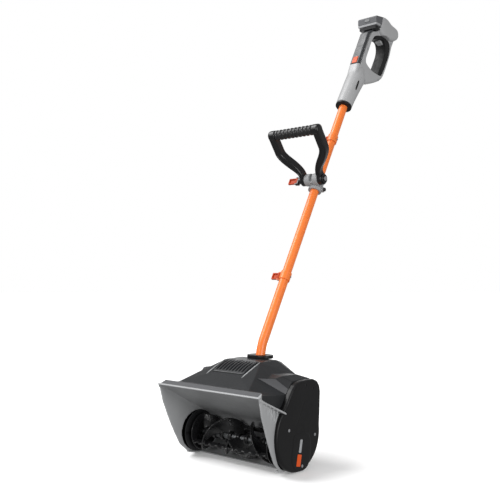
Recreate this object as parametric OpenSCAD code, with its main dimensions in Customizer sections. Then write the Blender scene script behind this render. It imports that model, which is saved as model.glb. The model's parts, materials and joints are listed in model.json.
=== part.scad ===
// Battery powered single stage snow thrower: auger head, three-piece shaft, front grip and rear handle.
// +X is the belt side, -Y the side the scoop faces, +Z up. The origin is the middle of the resting face.

/* [Head] */
// Width over the scoop's lip
lip_w = 332; // [324:2:340]
// Inside radius of the auger's chamber
chamber_r = 54; // [53:0.5:55]
// Wall of the scoop
scoop_wall = 3.5; // [3:0.5:4]
// Radius of the round lower end of the side covers
cover_r = 87.5; // [86.5:0.5:87.5]
// Wall of the covers
cover_wall = 3; // [2.5:0.5:3]

/* [Auger] */
// Radius swept by the auger
auger_r = 49; // [47:0.5:50]
// Turns that each helical flight makes on its half of the auger
flight_turns = 0.75; // [0.5:0.25:1]
// Radius of the auger's steel shaft
auger_shaft_r = 8; // [8:0.5:8]
// Root radius of the large belt pulley
driven_r = 36; // [34:1:37]
// Root radius of the motor's belt pulley
drive_r = 9; // [8:0.5:10]

/* [Shaft] */
// Outside diameter of the shaft's tubes
tube_d = 25; // [25:1:25]
// Wall of the tubes
tube_wall = 1.5; // [1:0.5:2]
// Lean of the straight shaft back from vertical, in degrees
lean = 29.7; // [29.7:0.1:29.7]
// Lean of the tube where it leaves the cowl, in degrees
neck_lean = 9; // [9:1:9]
// Radius of the bend above the cowl
bend_r = 115; // [115:1:115]

/* [Front grip] */
// Distance from the pivot to the middle of the ribbed bar
grip_reach = 152; // [150:1:156]
// Lean of the front grip forward from vertical, in degrees
grip_lean = 36.5; // [30:0.5:40]
// Width over the two arms
grip_w = 172; // [168:2:176]
// Radius of the ribbed bar
grip_r = 14.6; // [14:0.2:15]

/* [Rear handle] */
// Width of the loop of the rear handle
loop_w = 38; // [36:1:40]
// Width of the head behind the battery
pod_w = 66; // [66:1:68]

/* [Hidden] */

$fn = 96;
eps = 0.05;
fit = 0.25;
big = 400;

// Head: side view places are [y, z]
auger_axis = [-50, 61];
motor_axis = [16, 174];
cover_axis = [-25, cover_r];
throat_half = 138;
side_half = lip_w / 2;
cowl_half = 149;
// Scoop's front edge: y, z and half width from the lip down to the floor
mouth = [[-174, 192.8, 160], [-161.5, 147, 158.5], [-142.5, 101, 156.5],
    [-124, 62, 154], [-108, 33, 152], [-86, 14, 149]];
floor_edge_y = -48;
lip_back = [-156, 203];
rim_back = [-75, 148];

// Belt drive: pulleys stand outside the scoop's end, inside the right side cover
pulley_x = 150.5;
pulley_w = 9;
belt_t = 2.2;
belt_gap = 0.3;

// Shaft: tube_top is the lower end of the rear handle on the tube's axis
tube_top = [435, 984];
tube_r = tube_d / 2;
bend_end = -786.3;
lower_joint = -599;
upper_joint = -129;
neck_down = 72;
tube_in_handle = 30;
function on_shaft(t) = [tube_top.x + t * sin(lean), tube_top.y + t * cos(lean)];
bend_centre = on_shaft(bend_end) + bend_r * [cos(lean), -sin(lean)];
neck_top = bend_centre + bend_r * [-cos(neck_lean), sin(neck_lean)];

// Front grip: pivot in the side view, and its place along the shaft
pivot = [272, 741];
pivot_t = -291.8;
pivot_n = 21.2;
bolt_r = 4;
hub_in = 22.3;
hub_out = 36.3;

// Battery: world-aligned block on the head of the rear handle
battery_y = [577, 690];
battery_z = [1270, 1289];
battery_half = 34;

// ---- placing helpers ----
// Extrudes a side view [y, z] outline along X
module across(width, middle = 0) {
    translate([middle - width / 2, 0, 0]) rotate([90, 0, 90]) linear_extrude(width) children();
}
// Puts its children on the shaft's axis: local z runs up the tube, local -y is its front
module along_shaft(t = 0) {
    translate([0, on_shaft(t).x, on_shaft(t).y]) rotate([-lean, 0, 0]) children();
}
// Same for the short straight neck inside the cowl
module along_neck() {
    translate([0, neck_top.x, neck_top.y]) rotate([-neck_lean, 0, 0]) children();
}
// Puts its children on the front grip's pivot: local z runs up the arms
module along_grip() {
    translate([0, pivot.x, pivot.y]) rotate([grip_lean, 0, 0]) children();
}
// Extrudes a rear handle outline of [n, t] points: n is forward of the tube's axis, t along it
module profile(width, points, middle = 0) {
    across(width, middle) polygon([for (p = points) [-p[0], p[1]]]);
}
// Cylinder along X from x0 to x1 at [y, z]
module rod(x0, x1, r, at = [0, 0], r2 = undef) {
    translate([x0, at.x, at.y]) rotate([0, 90, 0])
        cylinder(h = x1 - x0, r1 = r, r2 = is_undef(r2) ? r : r2);
}

// ---- scoop ----
// Convex funnel from the lip back to the auger's chamber
module funnel(grow) {
    hull() {
        for (m = mouth)
            across(2 * (m[2] + grow)) translate([m[0], m[1]]) circle(r = 0.5 + grow, $fn = 24);
        across(2 * (throat_half + grow)) translate(auger_axis) circle(r = chamber_r + grow, $fn = 72);
    }
}
// Everything in front of the scoop's front edge
module front_space() {
    across(big) polygon(concat([[-300, 192.9], [-174, 192.9]], [for (m = mouth) [m[0], m[1]]],
        [[-86, -20], [-300, -20]]));
}
module rim_ribs(side) {
    for (i = [0:4]) {
        rib_y = -163 + 14 * i;
        rib_z = 187 - (rib_y + 174) * 0.44;
        translate([0, rib_y + 1.2, 0]) rotate([90, 0, 0]) linear_extrude(2.4)
            polygon([[side * 154, rib_z], [side * 165, rib_z], [side * 158, rib_z - 30],
                [side * 154, rib_z - 30]]);
    }
}
module scoop() {
    color("#8f9193")
    difference() {
        union() {
            funnel(scoop_wall);
            difference() {
                across(lip_w) polygon([[-174, 188], [-174, 194], lip_back, [lip_back.x, 178]]);
                // ends of the lip's top run in towards the back
                for (side = [-1, 1]) translate([0, 0, 170]) linear_extrude(40)
                    polygon([[side * side_half, -174.1], [side * (side_half - 9), -155], [side * 180, -155]]);
            }
            for (side = [-1, 1]) {
                across(14, side * (side_half - 7))
                    polygon([[-174, 188], [-174, 193], rim_back, [rim_back.x, rim_back.y - 5]]);
                rim_ribs(side);
            }
        }
        funnel(0);
        front_space();
        translate([-throat_half, -120, -20]) cube([2 * throat_half, 120 + floor_edge_y, 50]);
        for (side = [-1, 1]) across(20, side * 146) translate(auger_axis) circle(r = 52.7);
    }
}
module end_plate(side) {
    x0 = side > 0 ? throat_half + 0.2 : -throat_half - 4.2;
    color("#1d1e20")
    difference() {
        union() {
            rod(x0, x0 + 4, 52.4, auger_axis);
            rod(side > 0 ? x0 + 4 : x0 - 5, side > 0 ? x0 + 9 : x0, 20, auger_axis);
        }
        rod(x0 - 20, x0 + 24, 14.05, auger_axis);
        // seam across the middle of the plate's inner face
        translate([side > 0 ? x0 - 1 : x0 + 3, auger_axis.x - 52, auger_axis.y - 0.8]) cube([2, 36, 1.6]);
    }
}
module end_plate_left() end_plate(-1);
module end_plate_right() end_plate(1);
module bearing(side) {
    x0 = side > 0 ? throat_half + 1 : -throat_half - 8;
    color("#b9bcc0")
    difference() {
        rod(x0, x0 + 7, 14, auger_axis);
        rod(x0 - 1, x0 + 8, auger_shaft_r + 0.05, auger_axis);
    }
}
module bearing_left() bearing(-1);
module bearing_right() bearing(1);
module skid_plate() {
    color("#222325")
    difference() {
        across(240) polygon([[-17, 0], [34, 0], [40, 5], [40, 9], [12, 30], [-17, 30]]);
        across(big) translate(auger_axis) circle(r = chamber_r + scoop_wall + 0.1);
    }
}

// ---- cowl ----
shoulder = [[-155.5, 181], [-155.5, 203], [-88, 205], [-72, 215], [-58, 222], [-39, 227], [11, 225],
    [40, 214], [58, 196], [62, 175], [62, 112], [34, 76], [9, 44]];
module hump(grow) {
    hull() {
        across(114 + 2 * grow)
            polygon([[-112 - grow, 222 + grow], [-38, 253 + grow], [24, 253 + grow], [46 + grow, 246 + grow],
                [60 + grow, 200], [-112 - grow, 200]]);
        across(234 + 2 * grow)
            polygon([[-150 - grow, 203 + grow], [40, 214 + grow], [55 + grow, 200], [-140, 200]]);
    }
}
module cowl_form(grow) {
    across(2 * (cowl_half + grow)) offset(delta = grow) polygon(shoulder);
    hump(grow);
}
// Hollow let into each shoulder between the hump and the side cover
module shoulder_recess(side) {
    hull() {
        across(0.1, side * 92) polygon([[-95, 224], [-81, 240], [-99, 240]]);
        across(0.1, side * 112) polygon([[-158, 204], [-158, 240], [-150, 240]]);
        across(0.1, side * 150.5) polygon([[-158, 195], [-55, 185], [-9, 240], [-158, 240]]);
    }
}
grille_at = [-69, 241];
grille_tilt = 22.7;
module on_grille() {
    translate([0, grille_at.x, grille_at.y]) rotate([grille_tilt, 0, 0]) children();
}
// Slope that brings each shoulder down to the top of the side cover
module shoulder_slope(side) {
    translate([0, 70, 0]) rotate([90, 0, 0]) linear_extrude(160)
        polygon([[side * 122, 231], [side * 151, 213], [side * 151, 231]]);
}
// Outer shape of the cowl for grow = 0, and the room inside it for grow = -cover_wall
module cowl_shape(grow) {
    difference() {
        cowl_form(grow);
        for (side = [-1, 1]) {
            translate([side * grow, -grow, grow]) shoulder_recess(side);
            translate([side * grow, 0, grow]) shoulder_slope(side);
        }
    }
}
module cowl() {
    color("#3a3c3f")
    difference() {
        cowl_shape(0);
        cowl_shape(-cover_wall);
        funnel(scoop_wall + fit);
        across(big) polygon([[-180, 150], [-180, 210], [-155.7, 203.5], [-155.7, 150]]);
        on_grille() translate([-50.3, -30.3, -14]) cube([100.6, 60.6, 24]);
        along_neck() cylinder(h = 60, r = 17.4, center = true);
        rod(cowl_half - 6, cowl_half + 1, 12, motor_axis);
    }
}
module vent_grille() {
    color("#4b4d50")
    on_grille() difference() {
        translate([-50, -30, -3]) cube([100, 60, 3]);
        for (i = [-4:4]) translate([i * 10.4 - 2.6, -20, -4]) cube([5.2, 46, 5]);
    }
}

// ---- side covers ----
// Side cover's form between x0 and x1, with its outline moved out by grow
module cover_form(x0, x1, grow = 0) {
    rod(x0, x1, cover_r + grow, cover_axis);
    rod(x0, x1, 27 + grow, [-28, 189]);
    rod(x0, x1, 31 + grow, [36, 185]);
    across(x1 - x0, (x0 + x1) / 2) offset(delta = grow)
        polygon([[-104, 108], [-75, 148], [-57, 174], [-55, 189], [-27, 215], [36, 215], [67, 184],
            [62, 87], [-25, 87]]);
}
cover_screw_at = [[-65.5, 105.5], [39, 79], [-14, 13]];
module side_cover(side) {
    inner = 143.5;
    skin = side_half - cover_wall;
    color("#1f2022")
    difference() {
        cover_form(side > 0 ? inner : -side_half, side > 0 ? side_half : -inner);
        cover_form(side > 0 ? inner - 2 : -skin, side > 0 ? skin : 2 - inner, -cover_wall);
        funnel(scoop_wall + fit);
        across(2 * (cowl_half + fit)) offset(delta = fit) polygon(shoulder);
        across(big)
            polygon([[-180, 152], [-75.5, 152], [-74.5, 148.3], [-74.5, 142.6], [-90, 149]]);
        across(14.6, side * (side_half - 7))
            polygon([[-174, 186], [-174, 196], [rim_back.x + 0.4, rim_back.y + 0.4],
                [rim_back.x + 0.4, rim_back.y - 5.6]]);
        for (p = cover_screw_at) {
            rod(side > 0 ? 150 : -170, side > 0 ? 170 : -150, 1.8, p);
            rod(side > 0 ? side_half - 1.4 : -side_half - 1,
                side > 0 ? side_half + 1 : 1.4 - side_half, 4, p);
        }
        if (side > 0) {
            badge(-32, -4, 16, 1.2, 0.3);
            badge(0, 31, 9, 1.2, 0.3);
        }
        translate([0, 0, -9.5]) cube([big, big, 20], center = true);
    }
}
module side_cover_left() side_cover(-1);
module side_cover_right() side_cover(1);
// Plate let into the right side cover, leaning back: from and to run up it, depth into the cover
module badge(from, to, width, depth, grow = 0) {
    translate([side_half - depth, -23, 46]) rotate([-12.7, 0, 0])
        translate([0, -width / 2 - grow, from - grow])
            cube([depth + grow, width + 2 * grow, to - from + 2 * grow]);
}
module side_badge() {
    color("#e2571f") badge(-32, -4, 16, 1.1);
}
module side_label() {
    color("#c9cbcd") badge(0, 31, 9, 1.1);
}
module backplate(side) {
    color("#1f2022")
    difference() {
        cover_form(side * 146 - 0.9, side * 146 + 0.9, -cover_wall - 0.2);
        funnel(scoop_wall + fit);
        across(2 * (cowl_half + fit)) offset(delta = fit) polygon(shoulder);
        rod(side * 146 - 4, side * 146 + 4, 21, auger_axis);
        rod(side * 146 - 4, side * 146 + 4, 13, motor_axis);
        for (p = cover_screw_at) rod(side * 146 - 4, side * 146 + 4, 2, p);
        translate([0, 0, -8]) cube([big, big, 20], center = true);
        translate([0, 0, 190]) cube([big, big, 140], center = true);
    }
}
module backplate_left() backplate(-1);
module backplate_right() backplate(1);
module cover_screws() {
    color("#c9ccd0")
    for (side = [-1, 1], p = cover_screw_at) {
        rod(side > 0 ? 149 : -side_half + 0.4, side > 0 ? side_half - 0.4 : -149, 1.5, p);
        rod(side > 0 ? side_half - 1.4 : -side_half + 0.2,
            side > 0 ? side_half - 0.2 : 1.4 - side_half, 3.6, p);
    }
}

// ---- auger and belt drive ----
flight_half = 122;
module flight(side) {
    // two opposed blades that wind from the end disc to the middle
    translate([side > 0 ? 0 : -flight_half, auger_axis.x, auger_axis.y]) rotate([0, 90, 0])
        linear_extrude(flight_half, twist = -side * 360 * flight_turns, slices = 30, $fn = 12)
            rotate(side > 0 ? 0 : -360 * flight_turns) square([7, 2 * auger_r - 8], center = true);
}
module paddle(angle) {
    translate([0, auger_axis.x, auger_axis.y]) rotate([angle, 0, 0]) difference() {
        translate([-flight_half, -2.2, auger_r - 16]) cube([2 * flight_half, 4.4, 15]);
        for (i = [-5:5]) translate([i * 22 - 5, -4, auger_r - 5]) cube([10, 8, 10]);
    }
}
module auger_rotor() {
    color("#232426")
    difference() {
        union() {
            for (side = [-1, 1]) flight(side);
            for (angle = [62, 242]) paddle(-angle);
            for (side = [-1, 1])
                rod(side > 0 ? flight_half : -flight_half - 3,
                    side > 0 ? flight_half + 3 : -flight_half, auger_r - 2, auger_axis);
            for (i = [-4:4]) rod(i * 27 - 5, i * 27 + 5, 12, auger_axis);
        }
        rod(-flight_half - 5, flight_half + 5, auger_shaft_r, auger_axis);
    }
}
module auger_shaft() {
    color("#c4c7ca") rod(-throat_half - 7, pulley_x + pulley_w + 1.5, auger_shaft_r, auger_axis);
}
module pulley(root, at, bore) {
    difference() {
        union() {
            rod(pulley_x, pulley_x + pulley_w, root, at);
            for (x0 = [pulley_x, pulley_x + pulley_w - 1]) rod(x0, x0 + 1, root + 3.2, at);
        }
        rod(pulley_x - 1, pulley_x + pulley_w + 1, bore, at);
    }
}
module driven_pulley() {
    color("#4a4c50") difference() {
        pulley(driven_r, auger_axis, auger_shaft_r);
        for (a = [0:60:300])
            rod(pulley_x - 1, pulley_x + pulley_w + 1, 7, auger_axis + 23 * [cos(a), sin(a)]);
    }
}
module drive_pulley() {
    color("#9fa2a6") pulley(drive_r, motor_axis, 4);
}
// Loop round both pulleys at a distance grow outside their roots
module belt_loop(grow) {
    span = norm(motor_axis - auger_axis);
    turn = atan2(motor_axis.y - auger_axis.y, motor_axis.x - auger_axis.x);
    tilt = acos((driven_r - drive_r) / span);
    steps = 24;
    translate(auger_axis) rotate(turn) polygon(concat(
        [for (i = [0:steps]) let (a = tilt + i * (360 - 2 * tilt) / steps)
            (driven_r + grow) * [cos(a), sin(a)]],
        [for (i = [0:steps]) let (a = -tilt + i * 2 * tilt / steps)
            [span, 0] + (drive_r + grow) * [cos(a), sin(a)]]));
}
module drive_belt() {
    color("#141415")
    across(5.6, pulley_x + pulley_w / 2) difference() {
        belt_loop(belt_gap + belt_t);
        belt_loop(belt_gap);
    }
}
module motor() {
    color("#55585c")
    difference() {
        union() {
            rod(24, 88, 27.5, motor_axis);
            rod(88, 92, 20, motor_axis);
        }
        rod(78, 93, 4.05, motor_axis);
    }
}
module motor_shaft() {
    color("#c4c7ca") rod(79, pulley_x + pulley_w + 1, 4, motor_axis);
}
module cooling_fan() {
    color("#2a2b2e")
    difference() {
        union() {
            rod(103, 105, 24, motor_axis);
            rod(103, 113, 8, motor_axis);
            for (a = [0:45:315]) translate([103, motor_axis.x, motor_axis.y]) rotate([a, 0, 0])
                translate([0, -0.9, 6]) cube([10, 1.8, 17]);
        }
        rod(100, 116, 4, motor_axis);
    }
}
module motor_mount() {
    color("#a9acb0")
    difference() {
        across(3, 94) polygon([[-34, 128], [-22, 178], [-4, 202], [36, 202], [48, 188], [48, 104], [14, 86]]);
        funnel(scoop_wall + 0.05);
        rod(90, 98, 5.5, motor_axis);
    }
}
module motor_connector() {
    color("#1b1b1c") translate([-9, 6, 158]) cube([32.5, 18, 16]);
}

// ---- shaft ----
module tube_collar() {
    color("#26272a")
    difference() {
        union() {
            translate([0, 30, 253.2]) linear_extrude(8.4) {
                square([26, 48], center = true);
                for (x = [-13, 13]) translate([x, 0]) circle(r = 24);
            }
            along_neck() translate([0, 0, -60]) cylinder(h = 55, r = 17);
        }
        along_neck() cylinder(h = 160, r = tube_r + 0.02, center = true);
    }
}
module tube_ring(from, to, outer, inner) {
    translate([0, 0, from]) difference() {
        cylinder(h = to - from, r = outer);
        translate([0, 0, -1]) cylinder(h = to - from + 2, r = inner);
    }
}
// Tube swept along a route of [y, z] points in the plane x = 0
module sweep_side_view(route, r, sides = 8) {
    last = len(route) - 1;
    function heading(i) = let (d = route[min(i + 1, last)] - route[max(i - 1, 0)]) d / norm(d);
    rings = [for (i = [0:last], k = [0:sides - 1]) let (a = 360 * k / sides, d = heading(i))
        [r * cos(a), route[i].x + r * sin(a) * d.y, route[i].y - r * sin(a) * d.x]];
    polyhedron(points = rings, faces = concat(
        [for (k = [1:sides - 2]) [0, k, k + 1]],
        [for (k = [1:sides - 2]) last * sides * [1, 1, 1] + [0, k + 1, k]],
        [for (i = [0:last - 1], k = [0:sides - 1])
            [i * sides + k, (i + 1) * sides + k, (i + 1) * sides + (k + 1) % sides]],
        [for (i = [0:last - 1], k = [0:sides - 1])
            [i * sides + k, (i + 1) * sides + (k + 1) % sides, i * sides + (k + 1) % sides]]));
}
// Centre line of the lower tube: neck, bend and the straight up to the first joint
lower_route = concat(
    [for (down = [neck_down, 8]) neck_top - down * [sin(neck_lean), cos(neck_lean)]],
    [for (i = [0:8]) let (a = neck_lean + i * (lean - neck_lean) / 8)
        bend_centre + bend_r * [-cos(a), sin(a)]],
    [on_shaft(bend_end + 8), on_shaft(lower_joint - 0.1)]);
module lower_tube() {
    sides = 32;
    last = len(lower_route) - 1;
    function heading(i) =
        let (d = lower_route[min(i + 1, last)] - lower_route[max(i - 1, 0)]) d / norm(d);
    function ring(i, r) = [for (k = [0:sides - 1]) let (a = 360 * k / sides, d = heading(i))
        [r * cos(a), lower_route[i].x + r * sin(a) * d.y, lower_route[i].y - r * sin(a) * d.x]];
    // Rings run up the outside and back down the bore, so each joins the next and the last the first
    rings = concat([for (i = [0:last]) each ring(i, tube_r)],
        [for (i = [last:-1:0]) each ring(i, tube_r - tube_wall)]);
    count = 2 * (last + 1);
    function corner(i, k) = (i % count) * sides + k % sides;
    color("#ee7d33") polyhedron(points = rings, faces = concat(
        [for (i = [0:count - 1], k = [0:sides - 1]) [corner(i, k), corner(i + 1, k), corner(i + 1, k + 1)]],
        [for (i = [0:count - 1], k = [0:sides - 1]) [corner(i, k), corner(i + 1, k + 1), corner(i, k + 1)]]));
}
module middle_tube() {
    color("#ee7d33") along_shaft()
        tube_ring(lower_joint + 0.1, upper_joint - 0.1, tube_r, tube_r - tube_wall);
}
module upper_tube() {
    color("#ee7d33") along_shaft()
        tube_ring(upper_joint + 0.1, tube_in_handle, tube_r, tube_r - tube_wall);
}
sleeve_r = 15.2;
sleeve_half = 12;
lever_x = -20.5;
lever_h = 19.2;
module joint_sleeves() {
    color("#e8762d")
    for (t = [lower_joint, upper_joint]) along_shaft(t) difference() {
        union() {
            tube_ring(-sleeve_half, sleeve_half, sleeve_r, tube_r + 0.02);
            for (z = [-sleeve_half, 9.8]) translate([lever_x - 4, -4.5, z]) cube([10, 9, 2.2]);
        }
        translate([lever_x, 0, 0]) cylinder(h = 40, r = 2, center = true);
        cylinder(h = 40, r = tube_r + 0.02, center = true);
        rod(10, 20, 2.6, [3.8, 0]);
    }
}
module joint_bolts() {
    color("#d5d8db")
    for (t = [lower_joint, upper_joint]) along_shaft(t) rod(tube_r + 0.3, sleeve_r + 1.2, 2.5, [3.8, 0]);
}
module lever_pins() {
    color("#c4c7ca")
    for (t = [lower_joint, upper_joint]) along_shaft(t) translate([lever_x, 0, 0])
        cylinder(h = 2 * sleeve_half, r = 2, center = true);
}
// Cam lever: barrel on a pin, paddle pointing to -X with a hollow in its front
module cam_lever(reach, height) {
    difference() {
        union() {
            cylinder(h = height, r = 4, center = true);
            translate([-reach, -3, -height / 2]) cube([reach, 6, height]);
        }
        cylinder(h = height + 2, r = 2.04, center = true);
        translate([3 - reach, -4, 3 - height / 2]) cube([reach - 9, 4.2, height - 6]);
    }
}
module lower_lever() {
    color("#e4621f") along_shaft(lower_joint) translate([lever_x, 0, 0]) cam_lever(23.5, lever_h);
}
module upper_lever() {
    color("#e4621f") along_shaft(upper_joint) translate([lever_x, 0, 0]) cam_lever(23.5, lever_h);
}
// Lead from the controller to the motor, held in the tubes: sides round each ring of the sweep
lead_r = 3;
lead_route = concat(
    [for (t = [36, -100, -300, -500, -700, bend_end]) on_shaft(t)],
    [for (a = [24, 19, 14]) bend_centre + bend_r * [-cos(a), sin(a)]],
    [neck_top, neck_top - 66 * [sin(neck_lean), cos(neck_lean)], [17.5, 184], [16, 174.2]]);
module power_lead() {
    color("#161617") sweep_side_view(lead_route, lead_r);
}

// ---- front grip ----
module grip_bracket() {
    color("#9a9c9f")
    difference() {
        union() {
            along_shaft(pivot_t) {
                translate([0, 0, -26]) cylinder(h = 50, r = 19.5);
                translate([-12, -pivot_n - 8, -16]) cube([24, 14, 32]);
                translate([10, -2, -24]) cube([16, 14, 12]);
            }
            for (side = [-1, 1]) rod(side > 0 ? 5 : -22, side > 0 ? 22 : -5, 18, pivot);
        }
        along_shaft() translate([0, 0, pivot_t - 40]) cylinder(h = 80, r = tube_r + 0.06);
        rod(-40, 40, bolt_r, pivot);
        // split of the clamp at the back of the tube
        along_shaft(pivot_t) translate([-1, 8, -30]) cube([2, 20, 60]);
        along_shaft(pivot_t) rod(8, 30, 3, [6, -18]);
    }
}
module grip_bolt() {
    color("#c9ccd0") {
        rod(-51.5, 39.8, bolt_r, pivot);
        rod(39.8, 42.6, 6.5, pivot);
    }
}
module cam_washer() {
    color("#a8abaf") difference() {
        rod(-48.5, -37, 9.5, pivot);
        rod(-50, -36, bolt_r, pivot);
    }
}
module pivot_boss() {
    color("#1a1b1c") difference() {
        rod(36.8, 39.8, 13.5, pivot);
        rod(36, 41, bolt_r, pivot);
    }
}
module clamp_screw() {
    color("#1a1b1c") along_shaft(pivot_t) {
        rod(12.8, 26.2, 2.9, [6, -18]);
        rod(26.2, 30, 5.5, [6, -18]);
    }
}
grip_lever_x = -57;
module grip_lever_pin() {
    color("#c4c7ca") along_shaft(pivot_t) translate([grip_lever_x, -pivot_n, 0]) difference() {
        union() {
            translate([4.3, -6, -12]) cube([4, 12, 24]);
            for (z = [-12, 9.9]) translate([-4, -5, z]) cube([9, 10, 2.1]);
            cylinder(h = 24, r = 2, center = true);
        }
        rod(-20, 20, bolt_r, [0, 0]);
    }
}
module grip_lever() {
    color("#e4621f") along_shaft(pivot_t) translate([grip_lever_x, -pivot_n, 0]) cam_lever(29, lever_h);
}
// Half thickness and middle line of one arm, against the height z above the pivot
function ease(u) = let (v = min(max(u, 0), 1)) v * v * (3 - 2 * v);
hub_mid = (hub_in + hub_out) / 2;
function arm_mid(z) = hub_mid + (grip_w / 2 - 10.5 - hub_mid) * ease((z - 18) / 82);
function arm_half(z) = 7 + 3.5 * ease((z - 18) / 45);
arm_steps = 18;
module grip_arm(side) {
    levels = [for (i = [0:arm_steps]) i * grip_reach / arm_steps];
    function slope(z) = atan2(arm_mid(z + 1) - arm_mid(z - 1), 2);
    function edge(z, s) = [arm_mid(z) + s * arm_half(z) * cos(slope(z)), z - s * arm_half(z) * sin(slope(z))];
    rotate([90, 0, 0]) translate([0, 0, -13]) linear_extrude(26)
        polygon([for (p = concat([for (z = levels) edge(z, 1)],
            [for (i = [arm_steps:-1:0]) edge(levels[i], -1)]))
            [side * p.x, p.y]]);
}
module grip_frame() {
    color("#202123")
    along_grip() difference() {
        union() {
            for (side = [-1, 1]) {
                grip_arm(side);
                rod(side > 0 ? hub_in : -hub_out, side > 0 ? hub_out : -hub_in, 17);
                rod(side > 0 ? grip_w / 2 - 21.5 : -grip_w / 2,
                    side > 0 ? grip_w / 2 : 21.5 - grip_w / 2, 14.8,
                    [0, grip_reach]);
            }
            rod(-grip_w / 2 + 5, grip_w / 2 - 5, 9, [0, grip_reach]);
        }
        rod(-60, 60, bolt_r + 0.05);
    }
}
module grip_sleeve() {
    ends = grip_w / 2 - 21.7;
    ribs = 9;
    pitch = (2 * ends - 6) / ribs;
    color("#2b2c2e")
    along_grip() difference() {
        union() {
            rod(-ends, ends, grip_r - 1.6, [0, grip_reach]);
            for (i = [0:ribs]) rod(-ends + i * pitch, -ends + i * pitch + 6, grip_r, [0, grip_reach]);
        }
        rod(-ends - 1, ends + 1, 9, [0, grip_reach]);
    }
}

// ---- rear handle: outlines are [n, t] points, n forward of the tube's axis and t along it ----
loop_outline = [[18, 96], [20, 150], [20, 287], [9, 304], [-5, 338], [-14, 376], [-60, 388],
    [-100, 398], [-112, 390], [-117, 376], [-116, 345], [-121, 300], [-120, 229], [-111, 199],
    [-85, 165], [-59, 137], [-42, 120], [-38, 96]];
loop_hole = [[-18, 184], [-9, 191], [-6, 203], [-6, 270], [-12, 297], [-30, 318], [-57, 337], [-89, 346],
    [-104, 334], [-111, 308], [-112, 278], [-110, 241], [-106, 214], [-87, 201], [-52, 187]];
lining_outline = [[-88.5, 202.2], [-105.7, 214.3], [-109.7, 241], [-111.7, 278], [-110.7, 308],
    [-103.8, 333.8], [-88.9, 345.6], [-57, 336.7], [-30, 317.7], [-15, 300], [-22, 297],
    [-36, 310], [-62, 327], [-80, 318], [-88, 300], [-90, 278], [-89, 241]];
strip_outline = [[9, 157], [20.5, 157], [20.5, 287], [9, 304], [3, 318], [0, 318], [9, 285]];
strip_zone = [[8.7, 156.7], [30, 156.7], [30, 340], [-5, 340], [-1, 318], [8.7, 285]];
// Head of the handle in the side view [y, z]
pod_outline = [[607, 1271], [626, 1304], [637, 1311], [660, 1309], [683, 1299], [717, 1293],
    [729, 1285], [733, 1273], [730, 1261], [716, 1251], [690, 1243], [640, 1243], [612, 1258]];
trigger_hub = [-66, 351];
trigger_outline = [[-61, 352], [-50, 338], [-55, 319], [-78, 324], [-84, 335], [-71, 352]];
pocket_half = 29.5;

module handle_form() {
    difference() {
        union() {
            along_shaft() {
                hull() {
                    translate([0, 0, 3]) cylinder(h = 3, r = 25, $fn = 48);
                    translate([0, 11, 112]) cylinder(h = 6, r = 29.5, $fn = 48);
                }
                profile(loop_w, loop_outline);
            }
            across(pod_w) polygon(pod_outline);
        }
        along_shaft() {
            profile(big, loop_hole);
            profile(loop_w + 4, strip_zone);
            // lock button's well
            translate([-8.8, -9, 158.5]) cube([17.6, 6, 26]);
            // room for the controller and the tube
            translate([0, 3, 34]) cylinder(h = 76, r = 20);
            cylinder(h = 80, r = tube_r + 0.02, center = true);
            // slot of the trigger, its switch and its pin
            profile(19.6, [[-40, 310], [-40, 362], [-94, 362], [-94, 310]]);
            translate([0, -trigger_hub.x, trigger_hub.y]) rod(-13, 13, 2.5);
            translate([-8, 79.5, 355.5]) cube([16, 13, 11]);
            for (p = handle_screw_at) rod(-50, 50, 1.8, [-p[0], p[1]]);
            for (p = handle_screw_at) rod(p[2] - 1.6, 50, 4, [-p[0], p[1]]);
        }
        battery_room();
    }
}
// Screws of the handle: n, t and the half width of the shell there
handle_screw_at = [[-34, 130, 19], [-98, 188, 19], [-104, 352, 19], [1, 232, 19]];
module battery_room() {
    translate([-pocket_half, 560, battery_z[0] - 2]) cube([2 * pocket_half, battery_y[1] - 560 + 1, 23]);
    across(80) polygon([[540, 1240], [612, 1257.7], [607.3, 1270.8], [626.3, 1304.2], [626.3, 1330],
        [540, 1330]]);
}
module handle_left() {
    color("#c2c4c6") intersection() {
        handle_form();
        translate([-100 - eps, 300, 900]) cube([100, 600, 600]);
    }
}
module handle_right() {
    color("#c2c4c6") intersection() {
        handle_form();
        translate([eps, 300, 900]) cube([100, 600, 600]);
    }
}
module nose_ring() {
    color("#17181a") along_shaft() tube_ring(-5, 2.8, 25, tube_r + 0.02);
}
module grip_lining() {
    color("#17181a") along_shaft() difference() {
        profile(loop_w + 1, lining_outline);
        profile(20, [[-40, 310], [-40, 362], [-94, 362], [-94, 310]]);
    }
}
module top_strip() {
    color("#4d4f52")
    difference() {
        union() {
            along_shaft() profile(32, strip_outline);
            across(60) polygon([[578, 1252], [578, 1267.6], [605.6, 1267.6], [609.5, 1257.8], [600, 1255.2]]);
        }
        along_shaft() translate([-8.7, -40, 158.6]) cube([17.4, 40, 25.8]);
        along_shaft() profile(big, [[-40, 250], [-1, 318], [-4, 334], [-9, 372]]);
    }
}
module lock_button() {
    color("#e2632a") along_shaft() profile(17, [[12, 159], [21.5, 159], [22.5, 171], [21.5, 184], [12, 184]]);
}
module trigger() {
    color("#b9bbbd") along_shaft() difference() {
        union() {
            profile(18.8, trigger_outline);
            translate([0, -trigger_hub.x, trigger_hub.y]) rod(-4, 4, 5.5);
        }
        translate([0, -trigger_hub.x, trigger_hub.y]) rod(-20, 20, 2.55);
        for (side = [-1, 1]) translate([0, -trigger_hub.x, trigger_hub.y])
            rod(side > 0 ? 4.4 : -12, side > 0 ? 12 : -4.4, 5.6);
    }
}
module trigger_pin() {
    color("#c4c7ca") along_shaft() translate([0, -trigger_hub.x, trigger_hub.y]) rod(-12.5, 12.5, 2.5);
}
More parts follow.
